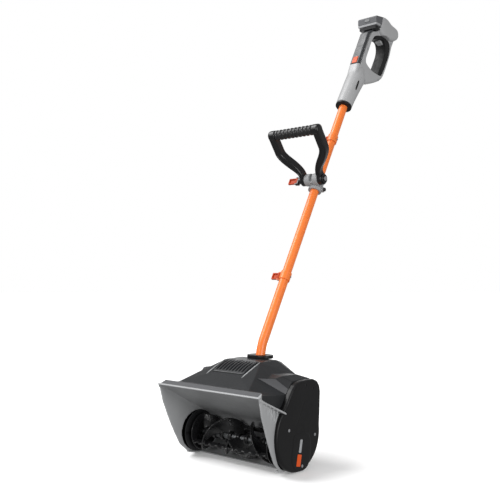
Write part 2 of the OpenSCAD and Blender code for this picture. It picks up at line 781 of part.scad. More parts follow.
module trigger_spring() {
    color("#c4c7ca") along_shaft() translate([5.3, -trigger_hub.x, trigger_hub.y]) rotate([0, 90, 0])
        for (i = [0:3])
            translate([0, 0, i * 1.2]) rotate_extrude() translate([3.6, 0]) circle(r = 0.68, $fn = 16);
}
module trigger_switch() {
    color("#2a2b2d") along_shaft() translate([-7.5, 80, 356]) cube([15, 12, 10]);
}
module controller() {
    color("#2f5d3a") along_shaft() {
        translate([-14, -3.2, 42]) cube([28, 1.6, 62]);
        translate([-9, -8, 48]) cube([18, 4.8, 22]);
        translate([-6, -1.6, 60]) cube([12, 7, 14]);
    }
}
module handle_screws() {
    color("#9a9da1") along_shaft() for (p = handle_screw_at) {
        rod(p[2] - 12, p[2] - 1.4, 1.75, [-p[0], p[1]]);
        rod(p[2] - 1.5, p[2] - 0.3, 3.8, [-p[0], p[1]]);
    }
}
module battery_case() {
    color("#55575b") difference() {
        union() {
            across(2 * battery_half)
                polygon([[577, 1277], [577, 1294], [580, 1298], [623, 1303.6], [607.4, 1277]]);
            translate([-29, 600, battery_z[0]]) cube([58, battery_y[1] - 600, 19]);
        }
        across(90) polygon([[560, 1260], [560, 1277], [606.8, 1277], [603, 1270], [603, 1260]]);
        translate([-9.4, 570, 1283]) cube([18.8, 12, 9.4]);
        for (x = [-12, -4, 4, 12]) translate([x - 1.5, battery_y[1] - 14, 1275]) cube([3, 20, 9]);
    }
}
module battery_base() {
    color("#a3a5a8")
        across(2 * battery_half)
            polygon([[577.4, 1269.6], [577.4, 1276.8], [606.5, 1276.8], [602.6, 1269.6]]);
}
module battery_latch() {
    color("#c9cbcd") translate([-9, 575.6, 1283.4]) cube([18, 3.4, 8.6]);
}
module battery_terminals() {
    color("#b58a3c") for (x = [-12, -4, 4, 12])
        translate([x - 0.5, battery_y[1] - 12, 1276]) cube([1, 12.9, 7]);
}

scoop();
end_plate_left();
end_plate_right();
bearing_left();
bearing_right();
skid_plate();
cowl();
vent_grille();
side_cover_left();
side_cover_right();
backplate_left();
backplate_right();
side_badge();
side_label();
cover_screws();
auger_rotor();
auger_shaft();
driven_pulley();
drive_pulley();
drive_belt();
motor();
motor_shaft();
cooling_fan();
motor_mount();
motor_connector();
tube_collar();
lower_tube();
middle_tube();
upper_tube();
joint_sleeves();
joint_bolts();
power_lead();
lower_lever();
upper_lever();
lever_pins();
grip_bracket();
grip_bolt();
cam_washer();
clamp_screw();
grip_lever_pin();
grip_lever();
grip_frame();
grip_sleeve();
pivot_boss();
handle_left();
handle_right();
nose_ring();
grip_lining();
top_strip();
lock_button();
trigger();
trigger_pin();
trigger_spring();
trigger_switch();
controller();
handle_screws();
battery_case();
battery_base();
battery_latch();
battery_terminals();
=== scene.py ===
"""Looks of the battery single stage snow thrower, built round its CAD frame.

Lengths are millimetres in outlines and helpers, and new_mesh turns them into metres.
"""

import json
import math

import bmesh
import bpy
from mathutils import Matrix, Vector


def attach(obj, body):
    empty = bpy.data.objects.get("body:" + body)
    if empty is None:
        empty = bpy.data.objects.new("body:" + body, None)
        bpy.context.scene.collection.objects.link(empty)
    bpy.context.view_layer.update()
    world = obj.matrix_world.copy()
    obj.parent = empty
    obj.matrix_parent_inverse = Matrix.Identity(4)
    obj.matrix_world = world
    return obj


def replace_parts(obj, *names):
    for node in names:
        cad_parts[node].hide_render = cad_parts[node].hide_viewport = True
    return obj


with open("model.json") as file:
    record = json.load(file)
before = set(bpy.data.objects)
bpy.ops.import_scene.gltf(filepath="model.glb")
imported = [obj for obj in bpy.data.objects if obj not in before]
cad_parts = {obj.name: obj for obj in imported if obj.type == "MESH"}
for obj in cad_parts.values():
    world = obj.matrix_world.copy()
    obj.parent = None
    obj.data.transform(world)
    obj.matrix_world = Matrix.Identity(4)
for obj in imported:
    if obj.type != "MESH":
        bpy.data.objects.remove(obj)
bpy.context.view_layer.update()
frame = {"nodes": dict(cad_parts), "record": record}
nodes = frame["nodes"]
record = frame["record"]

MM = 0.001
ROOT = "machine"
BODY_OF = {n: b for b, names in record["behaviour"]["bodies"].items() for n in names}
SLOT_OF = {s["node"]: s["material_slot"] for s in record["subparts"]}

# Places and sizes of the shaft, the front grip and the head, as in the part's source; pairs are (y, z)
LEAN = math.radians(29.7)
NECK_LEAN = math.radians(9)
TUBE_TOP = (435.0, 984.0)
TUBE_R = 12.5
TUBE_BORE_R = 11.0
BEND_R = 115.0
BEND_END = -786.3
PIVOT = (272.0, 741.0)
GRIP_LEAN = math.radians(36.5)
AUGER = (-50.0, 61.0)
CHAMBER_R = 54
THROAT_HALF = 138
COVER_SCREWS = ((-65.5, 105.5), (39, 79), (-14, 13))

SIDE_NAME = {-1: "left", 1: "right"}


# ---------------------------------------------------------------- places
def shaft(n, t, x=0.0):
    """Point n forward of the tube's axis and t along it."""
    return Vector((x, TUBE_TOP[0] + t * math.sin(LEAN) - n * math.cos(LEAN),
                   TUBE_TOP[1] + t * math.cos(LEAN) + n * math.sin(LEAN)))


def flat(a, b, x=0.0):
    """Point of the side view: a is row y, b is row z."""
    return Vector((x, a, b))


def grip_place(a, b, x=0.0):
    """Point of the front grip: b up its arms, a towards its back."""
    c, s = math.cos(GRIP_LEAN), math.sin(GRIP_LEAN)
    return Vector((x, PIVOT[0] + a * c - b * s, PIVOT[1] + a * s + b * c))


def turn(sides):
    """Angles that go once round in equal steps."""
    return [2 * math.pi * k / sides for k in range(sides)]


def smooth_loop(points, per):
    """Closed Catmull-Rom curve through 2-D points, in per steps from each to the next."""
    out, count = [], len(points)
    for i in range(count):
        p = [Vector(points[(i + k) % count]) for k in (-1, 0, 1, 2)]
        for j in range(per):
            u = j / per
            out.append(0.5 * (2 * p[1] + (p[2] - p[0]) * u + (2 * p[0] - 5 * p[1] + 4 * p[2] - p[3]) * u * u
                              + (3 * p[1] - p[0] - 3 * p[2] + p[3]) * u ** 3))
    return out


def inset(loop, by):
    """2-D loop moved inwards, whichever way round it runs."""
    count = len(loop)
    following = loop[1:] + loop[:1]
    area = sum(p.x * q.y - q.x * p.y for p, q in zip(loop, following))
    inwards = 1 if area > 0 else -1
    out = []
    for i in range(count):
        d = following[i] - loop[i - 1]
        if d.length < 1e-9:
            out.append(loop[i].copy())
            continue
        d.normalize()
        out.append(loop[i] + Vector((-d.y, d.x)) * inwards * by)
    return out


# ---------------------------------------------------------------- meshes
def new_mesh(name, verts, faces):
    """Mesh in metres from verts in millimetres, with its faces turned outwards."""
    mesh = bpy.data.meshes.new(name)
    mesh.from_pydata([Vector(v) * MM for v in verts], [], faces)
    bm = bmesh.new()
    bm.from_mesh(mesh)
    bmesh.ops.recalc_face_normals(bm, faces=bm.faces)
    bm.to_mesh(mesh)
    bm.free()
    return mesh


def add_object(name, mesh):
    obj = bpy.data.objects.new(name, mesh)
    bpy.context.scene.collection.objects.link(obj)
    return obj


def loft(rings):
    """Verts and faces that join rings of equal length, with flat ends."""
    verts = [v for ring in rings for v in ring]
    size = len(rings[0])
    faces = []
    for i in range(len(rings) - 1):
        for k in range(size):
            m = (k + 1) % size
            faces.append((i * size + k, i * size + m, (i + 1) * size + m, (i + 1) * size + k))
    faces.append(tuple(reversed(range(size))))
    faces.append(tuple((len(rings) - 1) * size + k for k in range(size)))
    return verts, faces


def slab(loop, x0, x1, place=flat, round_by=0.0, steps=5):
    """Side outline extruded along X, with edges rounded by round_by."""
    loop = [Vector(p) for p in loop]
    rings = []
    stations = [(x0, 0.0), (x1, 0.0)]
    if round_by > 0:
        edge = []
        for i in range(steps + 1):
            a = math.pi / 2 * i / steps
            edge.append((round_by * (1 - math.cos(a)), round_by * (1 - math.sin(a))))
        stations = [(x0 + along, by) for along, by in edge]
        stations += [(x1 - along, by) for along, by in reversed(edge)]
    for x, by in stations:
        ring = inset(loop, by) if by > 1e-6 else loop
        rings.append([place(p[0], p[1], x) for p in ring])
    return loft(rings)


def round_bar(stations, sides):
    """Circles (centre, axis direction, radius) joined into a closed bar."""
    rings = []
    for centre, axis, r in stations:
        axis = Vector(axis).normalized()
        u = axis.orthogonal().normalized() if abs(axis.x) > 0.9 else Vector((1, 0, 0))
        u = (u - axis * u.dot(axis)).normalized()
        v = axis.cross(u)
        rings.append([Vector(centre) + r * (math.cos(a) * u + math.sin(a) * v) for a in turn(sides)])
    return loft(rings)


def x_lathe(profile, at, sides, place=flat):
    """Profile of (x, radius) turned about an X axis through at = (a, b) of the side view."""
    rings = [[place(at[0] + r * math.cos(a), at[1] + r * math.sin(a), x) for a in turn(sides)]
             for x, r in profile]
    return loft(rings)


def joined(parts):
    """Several lots of verts and faces as one."""
    verts, faces = [], []
    for v, f in parts:
        base = len(verts)
        verts += list(v)
        faces += [tuple(i + base for i in face) for face in f]
    return verts, faces


def applied(obj, name):
    """The object's mesh with its modifiers applied, as a new mesh; the object goes."""
    graph = bpy.context.evaluated_depsgraph_get()
    graph.update()
    mesh = bpy.data.meshes.new_from_object(obj.evaluated_get(graph))
    mesh.name = name
    bpy.data.objects.remove(obj, do_unlink=True)
    return mesh


def soften_object(obj, name, voxel, rounds, keep):
    """The object rebuilt on a voxel grid, its edges smoothed, and the share keep of its triangles kept."""
    remesh = obj.modifiers.new("grow", "REMESH")
    remesh.mode = "VOXEL"
    remesh.voxel_size = voxel * MM
    smooth = obj.modifiers.new("round", "SMOOTH")
    smooth.factor = 0.5
    smooth.iterations = rounds
    obj.modifiers.new("thin", "DECIMATE").ratio = keep
    return applied(obj, name)


def moulded(name, add, cut, voxel, rounds, keep):
    """One moulded skin: the union of closed parts less the cutters, with every edge rounded."""
    base = add_object(name + "_base", new_mesh(name, *joined(add)))
    cutters = []
    for i, c in enumerate(cut):
        cutter = add_object(f"{name}_cut{i}", new_mesh("cut", *c))
        cutters.append(cutter)
        m = base.modifiers.new(f"cut{i}", "BOOLEAN")
        m.operation = "DIFFERENCE"
        m.solver = "EXACT"
        m.use_self = True
        m.object = cutter
    mesh = soften_object(base, name, voxel, rounds, keep)
    for cutter in cutters:
        bpy.data.objects.remove(cutter, do_unlink=True)
    return mesh


def finish_piece(name, mesh, material, body, sharp):
    """A piece of the body, with one material and its edges sharp above that many degrees."""
    obj = add_object(name, mesh)
    mesh.materials.clear()
    mesh.materials.append(material)
    mesh.shade_smooth()
    mesh.set_sharp_from_angle(angle=math.radians(sharp))
    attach(obj, body)
    return obj


def skin(name, mesh, material, node, sharp=40.0):
    """A piece that stands in for a CAD node."""
    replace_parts(finish_piece(name, mesh, material, BODY_OF[node], sharp), node)


def detail(name, mesh, material, slot):
    """A piece of the fixed body that adds to what the CAD has."""
    finish_piece(name, mesh, material, ROOT, 40.0)


def softened(node, material, voxel, rounds, keep):
    """The CAD node's own shape with its edges rounded as a mould would leave them."""
    copy = add_object(node + "_copy", nodes[node].data.copy())
    copy.matrix_world = nodes[node].matrix_world
    mesh = soften_object(copy, node + "_skin", voxel, rounds, keep)
    mesh.transform(nodes[node].matrix_world)
    skin(node + "_skin", mesh, material, node)


# ---------------------------------------------------------------- materials
class Recipe:
    """Small helper that wires shader nodes."""

    def __init__(self, name):
        self.mat = bpy.data.materials.new(name)
        self.mat.use_nodes = True
        self.tree = self.mat.node_tree
        self.tree.nodes.clear()
        self.out = self.add("ShaderNodeOutputMaterial")
        self.shader = self.add("ShaderNodeBsdfPrincipled")
        self.link(self.shader.outputs[0], self.out.inputs[0])
        self.place = self.add("ShaderNodeTexCoord").outputs["Object"]

    def add(self, kind, **values):
        node = self.tree.nodes.new(kind)
        for key, value in values.items():
            setattr(node, key, value)
        return node

    def link(self, a, b):
        self.tree.links.new(a, b)

    def stretch(self, scale):
        m = self.add("ShaderNodeMapping")
        self.link(self.place, m.inputs["Vector"])
        m.inputs["Scale"].default_value = scale
        return m.outputs[0]

    def noise(self, scale, detail=3.0, rough=0.55, place=None):
        n = self.add("ShaderNodeTexNoise")
        n.inputs["Scale"].default_value = scale
        n.inputs["Detail"].default_value = detail
        n.inputs["Roughness"].default_value = rough
        self.link(place or self.place, n.inputs["Vector"])
        return n.outputs["Fac"]

    def ramp(self, source, low, high, a=0.0, b=1.0):
        r = self.add("ShaderNodeMapRange")
        self.link(source, r.inputs["Value"])
        r.inputs["From Min"].default_value = low
        r.inputs["From Max"].default_value = high
        r.inputs["To Min"].default_value = a
        r.inputs["To Max"].default_value = b
        return r.outputs[0]

    def mix(self, fac, a, b):
        m = self.add("ShaderNodeMix", data_type="RGBA")
        self.link(fac, m.inputs[0])
        for value, socket in ((a, m.inputs[6]), (b, m.inputs[7])):
            if isinstance(value, (tuple, list)):
                socket.default_value = (*value[:3], 1.0)
            else:
                self.link(value, socket)
        return m.outputs[2]

    def bump(self, height, strength, distance, after=None):
        b = self.add("ShaderNodeBump")
        b.inputs["Strength"].default_value = strength
        b.inputs["Distance"].default_value = distance
        self.link(height, b.inputs["Height"])
        if after:
            self.link(after, b.inputs["Normal"])
        return b.outputs[0]


def shade(colour, by):
    """The colour made lighter or darker."""
    return tuple(max(0.0, min(1.0, c * by)) for c in colour)


def plastic(name, colour, rough, grain=0.12, patches=0.10, edge=1.5, coat=0.0, specular=0.4):
    """Moulded plastic: spark-eroded grain, faint flow patches, paler edges that are partly rubbed wear and
    partly painted highlight, dull and shiny areas.
    """
    r = Recipe(name)
    flow = r.ramp(r.noise(14, 3), 0.3, 0.7)
    base = r.mix(flow, shade(colour, 1 - patches), shade(colour, 1 + patches))
    # Edges made paler by pointiness, by the factor edge: partly rubbed wear, partly painted highlight along
    # the edges
    worn_and_highlit_edges = r.ramp(r.add("ShaderNodeNewGeometry").outputs["Pointiness"], 0.53, 0.64)
    speck = r.ramp(r.noise(900, 2), 0.56, 0.70)
    faint = r.add("ShaderNodeMath", operation="MULTIPLY")
    faint.inputs[1].default_value = 0.25
    r.link(speck, faint.inputs[0])
    r.link(r.mix(faint.outputs[0], r.mix(worn_and_highlit_edges, base, shade(colour, edge)), shade(colour, 1.18)),
           r.shader.inputs["Base Color"])
    r.link(r.ramp(r.noise(60, 4), 0.3, 0.7, rough - 0.06, rough + 0.08), r.shader.inputs["Roughness"])
    fine = r.bump(r.noise(1800, 2, 0.6), grain, 0.00004)
    r.link(r.bump(r.noise(30, 2), 0.05, 0.001, fine), r.shader.inputs["Normal"])
    r.shader.inputs["Coat Weight"].default_value = coat
    r.shader.inputs["Coat Roughness"].default_value = 0.2
    r.shader.inputs["Specular IOR Level"].default_value = specular
    return r.mat


def rubber(name, colour, rough=0.6, specular=0.3):
    """Soft overmould: dull, with a fine leather-like stipple and dusty high spots."""
    r = Recipe(name)
    stipple = r.add("ShaderNodeTexVoronoi")
    stipple.inputs["Scale"].default_value = 750
    r.link(r.place, stipple.inputs["Vector"])
    dust = r.ramp(r.noise(40, 4), 0.45, 0.75)
    r.link(r.mix(dust, colour, shade(colour, 1.6)), r.shader.inputs["Base Color"])
    r.link(r.ramp(r.noise(90, 3), 0.3, 0.7, rough - 0.06, rough + 0.1), r.shader.inputs["Roughness"])
    r.link(r.bump(stipple.outputs["Distance"], 0.15, 0.0001), r.shader.inputs["Normal"])
    r.shader.inputs["Specular IOR Level"].default_value = specular
    return r.mat


def powder_coat(name, colour):
    """Powder coated tube: orange-peel surface, faint rub marks along it."""
    r = Recipe(name)
    tone = r.ramp(r.noise(9, 3), 0.3, 0.7)
    rub = r.ramp(r.noise(26, 5, 0.7, r.stretch((8.0, 8.0, 0.8))), 0.62, 0.78)
    r.link(r.mix(rub, r.mix(tone, shade(colour, 0.95), shade(colour, 1.04)), shade(colour, 1.1)),
           r.shader.inputs["Base Color"])
    r.link(r.ramp(r.noise(120, 4), 0.3, 0.7, 0.26, 0.40), r.shader.inputs["Roughness"])
    r.link(r.bump(r.noise(700, 2, 0.5), 0.08, 0.00005), r.shader.inputs["Normal"])
    r.shader.inputs["Coat Weight"].default_value = 0.08
    r.shader.inputs["Coat Roughness"].default_value = 0.25
    r.shader.inputs["Specular IOR Level"].default_value = 0.35
    return r.mat


def metal(name, colour, rough=0.3, lines=(1.0, 30.0, 30.0)):
    """Turned or brushed metal with lines across one axis and a little tarnish."""
    r = Recipe(name)
    stain = r.ramp(r.noise(50, 4), 0.35, 0.75)
    r.link(r.mix(stain, colour, shade(colour, 0.82)), r.shader.inputs["Base Color"])
    brushed = r.noise(60, 4, 0.7, r.stretch(lines))
    r.link(r.ramp(brushed, 0.3, 0.7, rough - 0.07, rough + 0.12), r.shader.inputs["Roughness"])
    r.link(r.bump(brushed, 0.3, 0.00004), r.shader.inputs["Normal"])
    r.shader.inputs["Metallic"].default_value = 1.0
    return r.mat


M = {
    "scoop_plastic": plastic("scoop_plastic", (0.30, 0.305, 0.31), 0.42, patches=0.06, edge=1.9),
    "cowl_plastic": plastic("cowl_plastic", (0.018, 0.019, 0.0205), 0.42, edge=2.4, specular=0.22),
    "vent_plastic": plastic("vent_plastic", (0.026, 0.027, 0.029), 0.36, edge=3.0, specular=0.3),
    # Pale hump bars: painted highlight along the hump's edges
    "edge_highlight": plastic("edge_highlight", (0.30, 0.305, 0.31), 0.35, edge=1.3),
    # Lip band colour: painted shade on the lip's top
    "lip_painted_shade": plastic("lip_painted_shade", (0.075, 0.076, 0.08), 0.45, edge=1.2, specular=0.25),
    # Shoulder facets: painted highlight where light catches the shoulders
    "shoulder_highlight": plastic("shoulder_highlight", (0.062, 0.063, 0.067), 0.35, edge=1.4, specular=0.3),
    "cover_plastic": plastic("cover_plastic", (0.0065, 0.0065, 0.007), 0.42, edge=3.0, specular=0.2),
    "auger_plastic": plastic("auger_plastic", (0.007, 0.007, 0.0078), 0.27, 0.06, edge=3.0, specular=0.5),
    "steel": metal("steel", (0.60, 0.61, 0.63)),
    "dull_steel": metal("dull_steel", (0.16, 0.165, 0.17), 0.42),
    "alloy": metal("alloy", (0.56, 0.57, 0.59), 0.45, (8.0, 8.0, 8.0)),
    "orange_paint": powder_coat("orange_paint", (0.82, 0.19, 0.035)),
    "orange_plastic": plastic("orange_plastic", (0.60, 0.075, 0.008), 0.40, edge=1.2, specular=0.25),
    "lever_plastic": plastic("lever_plastic", (0.44, 0.045, 0.004), 0.45, 0.05, edge=1.2, specular=0.15),
    "grey_plastic": plastic("grey_plastic", (0.36, 0.363, 0.368), 0.42, patches=0.04, edge=1.25),
    "bracket_plastic": plastic("bracket_plastic", (0.30, 0.305, 0.31), 0.42, 0.05, 0.04, edge=1.1),
    "frame_plastic": plastic("frame_plastic", (0.0045, 0.0045, 0.005), 0.27, 0.05, edge=4.0, specular=0.4),
    "grip_rubber": rubber("grip_rubber", (0.0055, 0.0055, 0.006)),
    "rib_rubber": rubber("rib_rubber", (0.0060, 0.0060, 0.0065), 0.30, 0.6),
    "strip_plastic": plastic("strip_plastic", (0.042, 0.044, 0.047), 0.36, edge=1.8, specular=0.3),
    # Battery seat colour: painted shade for the shadow under the pod
    "seat_painted_shade": plastic("seat_painted_shade", (0.012, 0.012, 0.013), 0.42, edge=2.0, specular=0.2),
    "battery_plastic": plastic("battery_plastic", (0.10, 0.102, 0.11), 0.38, edge=2.0, specular=0.3),
    "battery_trim": plastic("battery_trim", (0.30, 0.305, 0.315), 0.36, edge=1.5),
    "latch_plastic": plastic("latch_plastic", (0.20, 0.205, 0.21), 0.36, edge=1.3),
    "belt_rubber": rubber("belt_rubber", (0.010, 0.010, 0.010)),
    "board": plastic("board", (0.02, 0.09, 0.04), 0.3, coat=0.3),
    "lead_jacket": rubber("lead_jacket", (0.012, 0.012, 0.012)),
    "contact_brass": metal("contact_brass", (0.78, 0.57, 0.25), 0.25),
}

# Each CAD node takes the material of its slot, but the auger's shaft, which takes the darker, rougher dull
# steel
for name, obj in nodes.items():
    for slot in obj.material_slots:
        slot.link = "OBJECT"
        slot.material = M["dull_steel" if name == "auger_shaft" else SLOT_OF[name]]


# ---------------------------------------------------------------- more mesh helpers
def on_shaft(a, b, x=0.0):
    """Side view of the rear handle: a is n, forward of the tube's axis, and b is t, along it."""
    return shaft(a, b, x)


def box_solid(lo, hi, place=flat):
    """Closed box between two (a, b, x) corners of a side view."""
    loop = [(lo[0], lo[1]), (hi[0], lo[1]), (hi[0], hi[1]), (lo[0], hi[1])]
    return slab(loop, lo[2], hi[2], place)


def ring_turned(profile, place, sides=96):
    """Closed profile of (along, radius) turned about an axis; place(along, radius, angle) is a point."""
    count = len(profile)
    verts = [place(u, r, a) for u, r in profile for a in turn(sides)]
    faces = []
    for i in range(count):
        for k in range(sides):
            i2, k2 = (i + 1) % count, (k + 1) % sides
            faces.append((i * sides + k, i2 * sides + k, i2 * sides + k2, i * sides + k2))
    return verts, faces


def about_shaft(t, r, angle):
    """Place for ring_turned: round the tube's axis."""
    return shaft(r * math.cos(angle), t, r * math.sin(angle))


def about_x(at, place=flat):
    """Place for ring_turned: round an X axis through at = (a, b) of the side view."""
    return lambda x, r, angle: place(at[0] + r * math.cos(angle), at[1] + r * math.sin(angle), x)


def rounded_ring(lo, hi, inner, outer, corner, steps=4):
    """Closed profile of a ring with rounded outer corners."""
    arc = [math.pi / 2 * i / steps for i in range(steps + 1)]
    first = [(lo + corner * (1 - math.cos(a)), outer - corner * (1 - math.sin(a))) for a in arc]
    second = [(hi - corner * (1 - math.sin(a)), outer - corner * (1 - math.cos(a))) for a in arc]
    return [(lo, inner)] + first + second + [(hi, inner)]


def convex(points):
    """Closed convex skin round a set of points, as verts and faces in millimetres."""
    bm = bmesh.new()
    for p in points:
        bm.verts.new(p)
    bmesh.ops.convex_hull(bm, input=bm.verts)
    loose = [v for v in bm.verts if not v.link_faces]
    bmesh.ops.delete(bm, geom=loose, context="VERTS")
    bm.verts.index_update()
    out = [v.co.copy() for v in bm.verts], [tuple(v.index for v in f.verts) for f in bm.faces]
    bm.free()
    return out


def half_of(mesh, name, side):
    """One half of a mesh cut on the plane x = 0, with a hairline parting gap and its cut closed."""
    half = mesh.copy()
    half.name = name
    bm = bmesh.new()
    bm.from_mesh(half)
    geom = bm.verts[:] + bm.edges[:] + bm.faces[:]
    bmesh.ops.bisect_plane(bm, geom=geom, plane_co=(side * 0.15 * MM, 0, 0), plane_no=(-side, 0, 0),
                           clear_outer=True)
    rim = [e for e in bm.edges if e.is_boundary]
    bmesh.ops.triangle_fill(bm, use_beauty=True, edges=rim)
    bmesh.ops.recalc_face_normals(bm, faces=bm.faces)
    bm.to_mesh(half)
    bm.free()
    return half


# ---------------------------------------------------------------- auger head
# Edge of the scoop's mouth as (y, z, half width), as in the part's source
MOUTH = [(-174, 192.8, 160), (-161.5, 147, 158.5), (-142.5, 101, 156.5), (-124, 62, 154), (-108, 33, 152),
         (-86, 14, 149)]


def funnel(grow):
    """Space of the mouth and the chamber, grown on every side, that the covers stay out of."""
    rims = [(half, y, z, 0.5, 24) for y, z, half in MOUTH] + [(THROAT_HALF, *AUGER, CHAMBER_R, 72)]
    points = []
    for half, y, z, r, sides in rims:
        for a in turn(sides):
            b, c = y + (r + grow) * math.cos(a), z + (r + grow) * math.sin(a)
            points += [(side * (half + grow), b, c) for side in (-1, 1)]
    return convex(points)


softened("scoop", M["scoop_plastic"], 1.5, 3, 0.35)
softened("cowl", M["cowl_plastic"], 1.3, 4, 0.35)
softened("auger_rotor", M["auger_plastic"], 1.3, 2, 0.35)
softened("skid_plate", M["cover_plastic"], 1.5, 3, 0.35)
softened("tube_collar", M["cover_plastic"], 1.0, 4, 0.4)

# Side cover's outline: the round lower end, then up the front, over the top and down the back
COVER_ROUND = (-25, 87.5)
COVER_ROUND_R = 87
COVER_OUTLINE = [(COVER_ROUND[0] + COVER_ROUND_R * math.cos(math.radians(d)),
                  COVER_ROUND[1] + COVER_ROUND_R * math.sin(math.radians(d))) for d in range(8, -220, -6)]
COVER_OUTLINE += [(-80, 157), (-72, 165), (-64, 176), (-56.5, 187), (-48, 198), (-38, 206.5), (-27, 211.5),
                  (-12, 214), (18, 214.6), (38, 213.4), (53, 207.5), (62, 197), (66, 182), (65, 160),
                  (63.5, 130)]
COVER_FACE = 165.0
COVER_WALL = 3.2
COVER_DIMPLES = ((2.8, 203), (32.4, 192))
COVER_CREASE = (Vector((-4.6, 164.4)), Vector((-33.5, 115.7)))
RIGHT_PANEL = [(-55, 30), (-38, 6), (-8, 2), (12, 12), (20, 40), (14, 84), (-42, 91), (-50, 70)]
# The two blank plates on the right cover, lower and upper: node, ends, half width and material
BADGE_AT = (-23, 46)
BADGE_LEAN = math.radians(12.7)
BADGE_CORNER = 2
BADGES = (("side_badge", -32, -4, 8, "orange_plastic"), ("side_label", 0, 31, 4.5, "battery_trim"))
BADGE_GAPS = ((-32.3, -3.7, 8.4), (-0.3, 31.3, 4.9))


def badge_at(across, up):
    """Place in the side view of a point of the plates on the right cover."""
    c, s = math.cos(BADGE_LEAN), math.sin(BADGE_LEAN)
    return Vector((BADGE_AT[0] + across * c + up * s, BADGE_AT[1] - across * s + up * c))


def badge_outline(lo, hi, half):
    """Outline of a plate with rounded corners."""
    out = []
    for across, up, qx, qy, start in ((-half, lo, 1, 1, 180), (half, lo, -1, 1, 270),
                                      (half, hi, -1, -1, 0), (-half, hi, 1, -1, 90)):
        for k in range(5):
            a = math.radians(start + 22.5 * k)
            out.append(badge_at(across + BADGE_CORNER * qx + BADGE_CORNER * math.cos(a),
                                up + BADGE_CORNER * qy + BADGE_CORNER * math.sin(a)))
    return out


def cover_mesh(side):
    """Side cover: a shell with screw holes, dimples and a crease, and on the right a panel for the plates."""
    beyond = COVER_FACE + 5

    def at(a, b, x=0.0):
        return flat(a, b, side * x)

    def hole(place, bottom, r, sides):
        return x_lathe([(side * bottom, r), (side * beyond, r)], place, sides)

    outline = [Vector(p) for p in COVER_OUTLINE]
    add = [slab(outline, 141.0, COVER_FACE, at, 6.0, 6)]
    cut = [box_solid((-300, -50, 100), (300, 300, 149.5), at),
           slab(inset(outline, COVER_WALL), 130, COVER_FACE - COVER_WALL, at),
           funnel(3.8),
           box_solid((-200, -50, 100), (200, 0.6, 200), at),
           slab([(-180, 184), (-180, 197), (-74.6, 148.6), (-74.6, 142.2)], 130, 180, at),
           slab([(-180, 150), (-180, 186), (-90, 152), (-90, 149)], 130, 180, at)]
    for place in COVER_SCREWS:
        cut += [hole(place, 150, 1.8, 24), hole(place, 164.3, 4.2, 32)]
    for place in COVER_DIMPLES:
        cut.append(hole(place, 163.2, 2.4, 24))
    top, bottom = COVER_CREASE
    way = (bottom - top).normalized()
    aside = Vector((-way.y, way.x)) * 0.9
    cut.append(slab([top + aside, bottom + aside, bottom - aside, top - aside], 164.0, beyond, at))
    if side > 0:
        add.append(slab(smooth_loop(RIGHT_PANEL, 4), 160, 165.8, at, 1.2, 3))
        for lo, hi, half in BADGE_GAPS:
            corners = [badge_at(-half, lo), badge_at(half, lo), badge_at(half, hi), badge_at(-half, hi)]
            cut.append(slab(corners, 164.6, beyond, at))
    return moulded(f"cover_{side}", add, cut, 1.3, 3, 0.35)


for side in (-1, 1):
    node = "side_cover_" + SIDE_NAME[side]
    skin(node + "_skin", cover_mesh(side), M["cover_plastic"], node)
for node, lo, hi, half, look in BADGES:
    plate = slab(badge_outline(lo, hi, half), 164.8, 165.9, flat, 0.3, 2)
    skin(node + "_plate", new_mesh(node, *plate), M[look], node)

# Vent grille: a back plate in a frame, with arched slats
GRILLE = (-69.0, 241.0)
GRILLE_TILT = math.radians(22.7)
GRILLE_HALF = 49.8
GRILLE_LOW, GRILLE_HIGH, GRILLE_BACK = -29.6, 29.6, -3
SLAT_PITCH = 10.4
SLAT_HALF = 2.2


def on_grille(a, b, x=0.0):
    """Point in the grille's own side view: a up its slope, b out of it."""
    c, s = math.cos(GRILLE_TILT), math.sin(GRILLE_TILT)
    return Vector((x, GRILLE[0] + a * c - b * s, GRILLE[1] + a * s + b * c))


slats = [slab(loop, -GRILLE_HALF, GRILLE_HALF, on_grille) for loop in (
    [(GRILLE_LOW, GRILLE_BACK), (GRILLE_HIGH, GRILLE_BACK), (GRILLE_HIGH, -1.2), (GRILLE_LOW, -1.2)],
    [(GRILLE_LOW, GRILLE_BACK), (-21, GRILLE_BACK), (-22, 1.2), (-27.5, 0.4), (GRILLE_LOW, -0.6)],
    [(26, GRILLE_BACK), (GRILLE_HIGH, GRILLE_BACK), (GRILLE_HIGH, 0.2), (26, 0.6)])]
arch = [(-23 + 5.1 * k, -0.2 + 4.2 * math.sin(math.pi * (0.12 + 0.8 * k / 10))) for k in range(11)]
arch = [(-24, -1.5)] + arch + [(28.5, -1.5)]
for i in range(-4, 6):
    x = i * SLAT_PITCH - SLAT_PITCH / 2
    slats.append(slab(arch, x - SLAT_HALF, x + SLAT_HALF, on_grille, 0.8, 3))
cheek = [(GRILLE_LOW, GRILLE_BACK), (GRILLE_HIGH, GRILLE_BACK), (GRILLE_HIGH, 1.4), (0, 2.2),
         (GRILLE_LOW, 0.4)]
for x in (-GRILLE_HALF, GRILLE_HALF - 3):
    slats.append(slab(cheek, x, x + 3, on_grille))
skin("vent_grille_slats", moulded("slats", slats, (), 0.8, 2, 0.4), M["vent_plastic"], "vent_grille")

# Darker band along the top of the scoop's lip: painted shade, a dark sheet laid where shade falls on the
# lip's top
band = [(-169.8, 195.8), (-156.6, 202.4), (-156.8, 203.2), (-170.0, 196.9)]
detail("lip_shade_band", new_mesh("lip_shade_band", *slab(band, -156.5, 156.5, flat, 0.2, 2)), M["lip_painted_shade"],
       "cover_plastic")
